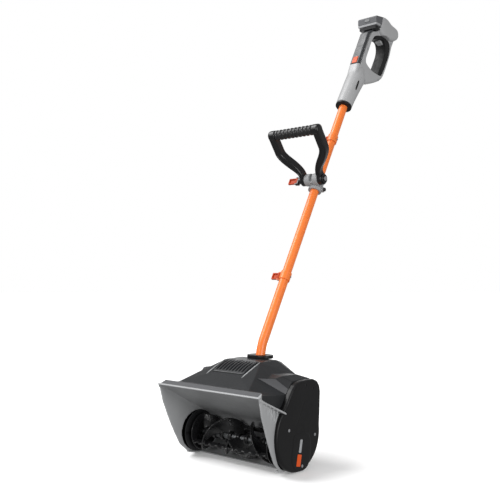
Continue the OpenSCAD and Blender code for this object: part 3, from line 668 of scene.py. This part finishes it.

# Painted highlights: pale bars down the hump's front edges as (y, z, radius), and a lighter facet on each
# shoulder as (x, y, z)
HIGHLIGHT_X = 57.6
HIGHLIGHT_LINE = [(-41, 252.6, 0.5), (-60, 244.9, 1.3), (-80, 236.4, 1.5), (-100, 227.6, 1.4), (-111, 222.6, 0.5)]
FACET = [(94, -95, 223.3), (122.4, -61.4, 220.3), (148.7, -47, 197.8), (148.7, -56, 186.1)]
for side in (-1, 1):
    highlight_bar = round_bar([((side * HIGHLIGHT_X, y, z), (0, -0.92, -0.39), r) for y, z, r in HIGHLIGHT_LINE], 12)
    detail(f"hump_highlight_{SIDE_NAME[side]}", new_mesh("highlight_bar", *highlight_bar), M["edge_highlight"], "cowl_plastic")
    # Lighter plate on the shoulder: painted highlight
    facet = [Vector((side * x, y, z)) for x, y, z in FACET]
    out = Vector((side * 0.693, -0.562, 0.45))
    plate = convex([p + out * 0.7 for p in facet] + [p - out * 1.6 for p in facet])
    detail(f"shoulder_facet_{SIDE_NAME[side]}", moulded("facet", [plate], (), 0.6, 2, 0.5),
           M["shoulder_highlight"], "cowl_plastic")

# ---------------------------------------------------------------- shaft
BEND_CENTRE = Vector((0, TUBE_TOP[0] + BEND_END * math.sin(LEAN) + BEND_R * math.cos(LEAN),
                      TUBE_TOP[1] + BEND_END * math.cos(LEAN) - BEND_R * math.sin(LEAN)))


def bend_point(a):
    """Point of the tube's bend where it leans by a."""
    return BEND_CENTRE + BEND_R * Vector((0, -math.cos(a), math.sin(a)))


neck = bend_point(NECK_LEAN)
neck_way = Vector((0, math.sin(NECK_LEAN), math.cos(NECK_LEAN)))
route = [(neck - neck_way * 72, neck_way), (neck - neck_way * 8, neck_way)]
for i in range(17):
    a = NECK_LEAN + (LEAN - NECK_LEAN) * i / 16
    route.append((bend_point(a), Vector((0, math.sin(a), math.cos(a)))))
route += [(shaft(0, t), shaft(0, t) - shaft(0, t - 1)) for t in (-778, -700, -611.5, -599.4)]
outer = [(p, w, TUBE_R) for p, w in route]
inner = [(p, w, TUBE_BORE_R) for p, w in reversed(route)]


def tube_ring_mesh(stations, sides=72):
    """Open tube: rings (centre, way, radius) up its outside and back down its bore."""
    rings = []
    across = Vector((1, 0, 0))
    for centre, way, r in stations:
        up = Vector(way).normalized().cross(across).normalized()
        rings.append([centre + r * (math.cos(a) * across + math.sin(a) * up) for a in turn(sides)])
    verts = [v for ring in rings for v in ring]
    faces = []
    count = len(rings)
    for i in range(count):
        for k in range(sides):
            j, m = (i + 1) % count, (k + 1) % sides
            faces.append((i * sides + k, i * sides + m, j * sides + m, j * sides + k))
    return verts, faces


skin("lower_tube_skin", new_mesh("lower_tube", *tube_ring_mesh(outer + inner)), M["orange_paint"],
     "lower_tube")
softened("joint_sleeves", M["orange_paint"], 0.5, 2, 0.4)
for node in ("lower_lever", "upper_lever", "grip_lever"):
    softened(node, M["lever_plastic"], 0.5, 3, 0.5)

# ---------------------------------------------------------------- front grip
softened("grip_bracket", M["bracket_plastic"], 0.6, 8, 0.5)


# The D frame, in the grip's own side view: arms up from the hub at (0, 0) to the bar at BAR
BAR = (0, 152)
ARM_DEPTH = 13.0
ARM_CORNER = 4.0
GROOVE_DEPTH = 2.6


def ease(u):
    """0 to 1 with a soft start and end."""
    u = min(max(u, 0), 1)
    return u * u * (3 - 2 * u)


def arm_mid(b):
    """How far out the middle of an arm is at height b."""
    return 29.3 + (75.5 - 29.3) * ease((b - 18) / 82)


def arm_half(b):
    """Half width of an arm at height b."""
    return 7 + 3.5 * ease((b - 18) / 45)


def arm_section(half, groove):
    """Rounded section of an arm as (x, a), with a shallow groove down its front and its back."""
    out = []
    for qx, qa, start in ((1, 1, 0), (-1, 1, 90), (-1, -1, 180), (1, -1, 270)):
        for k in range(5):
            a = math.radians(start + 22.5 * k)
            out.append(((half - ARM_CORNER) * qx + ARM_CORNER * math.cos(a),
                        (ARM_DEPTH - ARM_CORNER) * qa + ARM_CORNER * math.sin(a)))
        if start in (0, 180):
            lip, floor_edge = half - ARM_CORNER - 0.6, half - ARM_CORNER - 1.8
            across = [(lip, 0.0), (floor_edge, groove), (0.0, groove), (-floor_edge, groove), (-lip, 0.0)]
            out += [(qx * x, qa * (ARM_DEPTH - deep)) for x, deep in across]
    return out


def arm(side):
    rings = []
    for i in range(41):
        b = BAR[1] * i / 40
        slope = math.atan2(arm_mid(b + 1) - arm_mid(b - 1), 2)
        groove = GROOVE_DEPTH * ease((b - 10) / 12) * ease((150 - b) / 12)
        rings.append([grip_place(a, b - x * math.sin(slope), side * (arm_mid(b) + x * math.cos(slope)))
                      for x, a in arm_section(arm_half(b), groove)])
    return loft(rings)


def bar_end(side):
    steps = [(63.2, 13.0), (64.5, 14.8), (80, 14.8), (83.4, 14.0), (85.3, 12.2), (86, 9.5)]
    return x_lathe([(side * x, r) for x, r in steps], BAR, 48, grip_place)


def hub(side):
    steps = [(22.4, 15.6), (23.6, 16.9), (34.8, 16.9), (36.2, 15.4)]
    return x_lathe([(side * x, r) for x, r in steps], (0, 0), 48, grip_place)


frame_parts = [arm(-1), arm(1), bar_end(-1), bar_end(1), hub(-1), hub(1),
               x_lathe([(-80, 8.95), (80, 8.95)], BAR, 48, grip_place)]
frame_cuts = [x_lathe([(-60, 4.08), (60, 4.08)], (0, 0), 48, grip_place)]
skin("grip_frame_skin", moulded("grip_frame", frame_parts, frame_cuts, 0.9, 3, 0.35), M["frame_plastic"],
     "grip_frame")

# Ribbed sleeve: ten soft ribs as a wave along the bar
SLEEVE_HALF = 64.2
SLEEVE_BORE_R = 9.05
RIBS = 10
RIB_STEPS = 8
ribs = [(-SLEEVE_HALF, SLEEVE_BORE_R)]
for i in range(RIBS * RIB_STEPS + 1):
    wave = 0.5 - 0.5 * math.cos(2 * math.pi * i / RIB_STEPS)
    end = 0.6 if i in (0, RIBS * RIB_STEPS) else 0
    ribs.append((-SLEEVE_HALF + 2 * SLEEVE_HALF * i / (RIBS * RIB_STEPS), 11.9 + 2.65 * wave ** 0.55 - end))
ribs.append((SLEEVE_HALF, SLEEVE_BORE_R))
skin("grip_sleeve_ribs", new_mesh("ribs", *ring_turned(ribs, about_x(BAR, grip_place), 64)), M["rib_rubber"],
     "grip_sleeve", 70)

boss = [(36.85, 4.03), (36.85, 12.6), (37.4, 13.3), (38.6, 13.4), (39.4, 12.8), (39.75, 11.8), (39.75, 10.4),
        (39.2, 9.8), (38.6, 9.4), (38.6, 7.6), (39.75, 7.0), (39.75, 4.03)]
skin("pivot_boss_cap", new_mesh("boss", *ring_turned(boss, about_x(PIVOT), 72)), M["frame_plastic"],
     "pivot_boss")

# ---------------------------------------------------------------- rear handle
# Outlines as (n, t) of the shaft, but the pod's and the seat's, which are (y, z)
LOOP = [(10, 108), (19, 152), (20, 220), (20, 287), (9, 304), (-5, 338), (-14, 376), (-60, 388), (-100, 398),
        (-112, 390), (-117, 376), (-116, 345), (-121, 300), (-120, 229), (-111, 199), (-85, 165), (-59, 138),
        (-40, 122), (-28, 106)]
HOLE = [(-18, 184), (-9, 191), (-6, 203), (-6, 236), (-6, 270), (-12, 297), (-30, 318), (-57, 337),
        (-89, 346), (-104, 334), (-111, 308), (-112, 278), (-110, 241), (-106, 214), (-87, 201), (-52, 187)]
LINING = [(-88.5, 202.2), (-105.7, 214.3), (-109.7, 241), (-111.7, 278), (-110.7, 308), (-103.8, 333.8),
          (-88.9, 345.6), (-57, 336.7), (-30, 317.7), (-15, 300), (-22, 297), (-36, 310), (-62, 327),
          (-80, 318), (-88, 300), (-90, 278), (-89, 241)]
STRIP = [(9, 157), (20.5, 157), (20.5, 287), (9, 304), (3, 318), (0, 318), (9, 285)]
STRIP_ZONE = [(8.7, 156.7), (30, 156.7), (30, 340), (-5, 340), (-1, 318), (8.7, 285)]
POD = [(608, 1271), (617, 1288), (626.5, 1303), (637, 1310), (660, 1308.5), (683, 1299), (708, 1294.5),
       (722, 1291), (729.5, 1284), (732, 1273), (729, 1261), (716, 1251.5), (690, 1244), (640, 1244),
       (613, 1258)]
POD_MOUTH = [(540, 1240), (612.2, 1257.5), (607.5, 1270.8), (626.5, 1304.2), (626.5, 1330), (540, 1330)]
SEAT = [(578.4, 1258.5), (578.4, 1267.4), (605.4, 1267.4), (608.6, 1259), (600, 1256.2)]
# Barrel's rings as (t, n, radius), and the right shell's screws as (n, t)
BARREL = [(3, 0, 23.6), (4.5, 0, 24.7), (8, -0.3, 25.1), (30, -1.8, 25.7), (60, -5.0, 26.9), (90, -8.6, 28.5),
          (108, -10.8, 29.2), (120, -11.2, 28.8), (134, -9.5, 26.5), (148, -7.0, 22.5), (160, -5.0, 18.0)]
HANDLE_SCREWS = ((-34, 130), (-98, 188), (-104, 352), (1, 232))
HANDLE_HALF = 19

up_shaft = shaft(0, 1) - shaft(0, 0)
trigger_slot = slab([(-40, 322), (-40, 362), (-94, 362), (-94, 322)], -9.9, 9.9, on_shaft)
handle_add = [round_bar([(shaft(n, t), up_shaft, r) for t, n, r in BARREL], 64),
              slab(smooth_loop(LOOP, 4), -HANDLE_HALF, HANDLE_HALF, on_shaft, 8.5, 6),
              slab(smooth_loop(POD, 4), -32.8, 32.8, flat, 11, 7)]
handle_cut = [slab(smooth_loop(HOLE, 4), -40, 40, on_shaft),
              slab(STRIP_ZONE, -24, 24, on_shaft),
              box_solid((2.8, 158.3, -8.9), (10, 184.7, 8.9), on_shaft),
              round_bar([(shaft(0, -20), up_shaft, 12.6), (shaft(0, 38), up_shaft, 12.6)], 64),
              trigger_slot,
              box_solid((555, 1267.8, -29.7), (691.2, 1291.2, 29.7)),
              slab(POD_MOUTH, -45, 45)]
handle_cut += [x_lathe([(HANDLE_HALF - 1.7, 4.1), (60, 4.1)], place, 32, on_shaft) for place in HANDLE_SCREWS]
handle = moulded("handle", handle_add, handle_cut, 1.1, 9, 0.5)
for side in (-1, 1):
    node = "handle_" + SIDE_NAME[side]
    skin(node + "_shell", half_of(handle, node, side), M["grey_plastic"], node, 60)
bpy.data.meshes.remove(handle)


def barrel_slot_shade(side):
    """Dark leaf-shaped sheet that lies on the barrel's round side from t 58.5 to 94.5: painted shade for a
    vent slot's hollow.
    """
    rings = []
    for i in range(13):
        t = 58.5 + 3 * i
        middle, radius = 1.2 - 9.4 * (t - 8) / 100, 25.1 + 4.0 * (t - 8) / 100
        wide = 0.9 + 2.6 * math.sin(math.pi * (i + 0.4) / 12.8) ** 0.5 * (1.0 - 0.35 * i / 12)
        across = [2.0 + wide * (k / 4 - 1) for k in range(9)]
        outside = [(n, 0.25) for n in across]
        inside = [(n, -2.0) for n in reversed(across)]
        rings.append([on_shaft(n, t, side * (math.sqrt(radius ** 2 - (n - middle) ** 2) + lift))
                      for n, lift in outside + inside])
    return loft(rings)


# Dark slot sheets on both sides of the barrel: painted shade
for side in (-1, 1):
    detail(f"barrel_slot_shade_{SIDE_NAME[side]}", new_mesh("slot", *barrel_slot_shade(side)), M["frame_plastic"],
           "cover_plastic")

nose = rounded_ring(-5, 2.7, 12.56, 24.9, 2.6)
skin("nose_ring_cap", new_mesh("nose", *ring_turned(nose, about_shaft)), M["cover_plastic"], "nose_ring")
lining = slab(smooth_loop(LINING, 3), -19.4, 19.4, on_shaft, 2.2, 4)
skin("grip_lining_pad", moulded("lining", [lining], [trigger_slot], 0.9, 3, 0.45), M["grip_rubber"],
     "grip_lining")
strip_cuts = [box_solid((0, 158.5, -8.8), (40, 184.5, 8.8), on_shaft),
              slab([(-40, 250), (-1, 318), (-4, 334), (-9, 372)], -45, 45, on_shaft)]
strip = slab(STRIP, -16, 16, on_shaft, 4.5, 5)
skin("top_strip_cover", moulded("strip", [strip], strip_cuts, 0.8, 3, 0.4), M["strip_plastic"], "top_strip")
# Battery seat in near black: painted shade for the shadow under the battery pod
detail("battery_seat", new_mesh("seat", *slab(SEAT, -29.6, 29.6, flat, 1.2, 3)), M["seat_painted_shade"],
       "cover_plastic")
softened("lock_button", M["orange_plastic"], 0.45, 3, 0.5)
softened("trigger", M["grey_plastic"], 0.6, 4, 0.5)
softened("battery_case", M["battery_plastic"], 0.5, 5, 0.4)
softened("battery_base", M["battery_trim"], 0.7, 9, 0.4)
softened("battery_latch", M["latch_plastic"], 0.35, 7, 0.5)

# ---------------------------------------------------------------- camera, floor, light
scene = bpy.context.scene
camera = bpy.data.objects.new("camera", bpy.data.cameras.new("camera"))
scene.collection.objects.link(camera)
camera.location = (1.1655, -1.395, 0.4751)
camera.rotation_euler = (math.radians(91.8), 0, math.radians(40.1))
camera.data.lens = 50.87
camera.data.sensor_width = 36
camera.data.clip_end = 200
scene.camera = camera

FLOOR_HALF = 30000
DOME_R = 15000


def stage_surface(name, verts, faces, colour, glow):
    """A matt surface of the studio, which shows to the camera and is left out of what the object reflects."""
    look = Recipe(name + "_look")
    look.shader.inputs["Base Color"].default_value = (colour, colour, colour, 1)
    look.shader.inputs["Roughness"].default_value = 0.9
    look.shader.inputs["Specular IOR Level"].default_value = 0.0
    look.shader.inputs["Emission Color"].default_value = (1, 1, 1, 1)
    look.shader.inputs["Emission Strength"].default_value = glow
    obj = add_object(name, new_mesh(name, verts, faces))
    obj.data.materials.append(look.mat)
    obj.visible_diffuse = False
    obj.visible_glossy = False
    return obj


corners = [(-FLOOR_HALF, -FLOOR_HALF, 0), (FLOOR_HALF, -FLOOR_HALF, 0), (FLOOR_HALF, FLOOR_HALF, 0),
           (-FLOOR_HALF, FLOOR_HALF, 0)]
floor = stage_surface("floor", corners, [(0, 1, 2, 3)], 0.93, 0.12)
floor.location.z = -0.0005
arch = [math.radians(d) for d in range(180, -1, -10)]
arch = [(DOME_R * math.cos(a), max(1.0, DOME_R * math.sin(a))) for a in arch]
dome = stage_surface("backdrop", *x_lathe(arch, (0, 0), 48), 0, 1.0)
dome.visible_transmission = False
dome.visible_shadow = False
dome.visible_volume_scatter = False

world = bpy.data.worlds.new("studio")
scene.world = world
world.use_nodes = True
world.node_tree.nodes["Background"].inputs[0].default_value = (1, 1, 1, 1)
world.node_tree.nodes["Background"].inputs[1].default_value = 0.38


def light(name, data, place, way):
    """A light at place, in metres, that shines along way."""
    obj = bpy.data.objects.new(name, data)
    scene.collection.objects.link(obj)
    obj.location = place
    obj.rotation_euler = Vector(way).to_track_quat("-Z", "Y").to_euler()
    return obj


def lamp(name, place, aim, size, power):
    """Soft rectangular lamp that faces aim, in metres and watts."""
    data = bpy.data.lights.new(name, "AREA")
    data.shape = "RECTANGLE"
    data.size, data.size_y = size
    data.energy = power
    return light(name, data, place, Vector(aim) - Vector(place))


lamp("key", (-1.8, -2.0, 2.2), (0, 0.1, 0.5), (1.4, 1.4), 26)
lamp("side", (2.4, -0.9, 0.85), (0, 0.1, 0.45), (0.9, 1.7), 46)
lamp("front", (-0.3, -2.6, 0.75), (0, 0, 0.5), (0.9, 0.5), 14)
lamp("back", (-1.9, 2.3, 0.8), (0, 0, 0.3), (2.2, 1.4), 14).visible_camera = False
sky = bpy.data.lights.new("sky", "SUN")
sky.energy = 2.6
sky.angle = math.radians(35)
light("sky", sky, (0, 0, 0), (0.62, 0.42, -1.0))

scene.view_settings.view_transform = "Standard"
scene.view_settings.look = "None"
scene.view_settings.exposure = 0.0
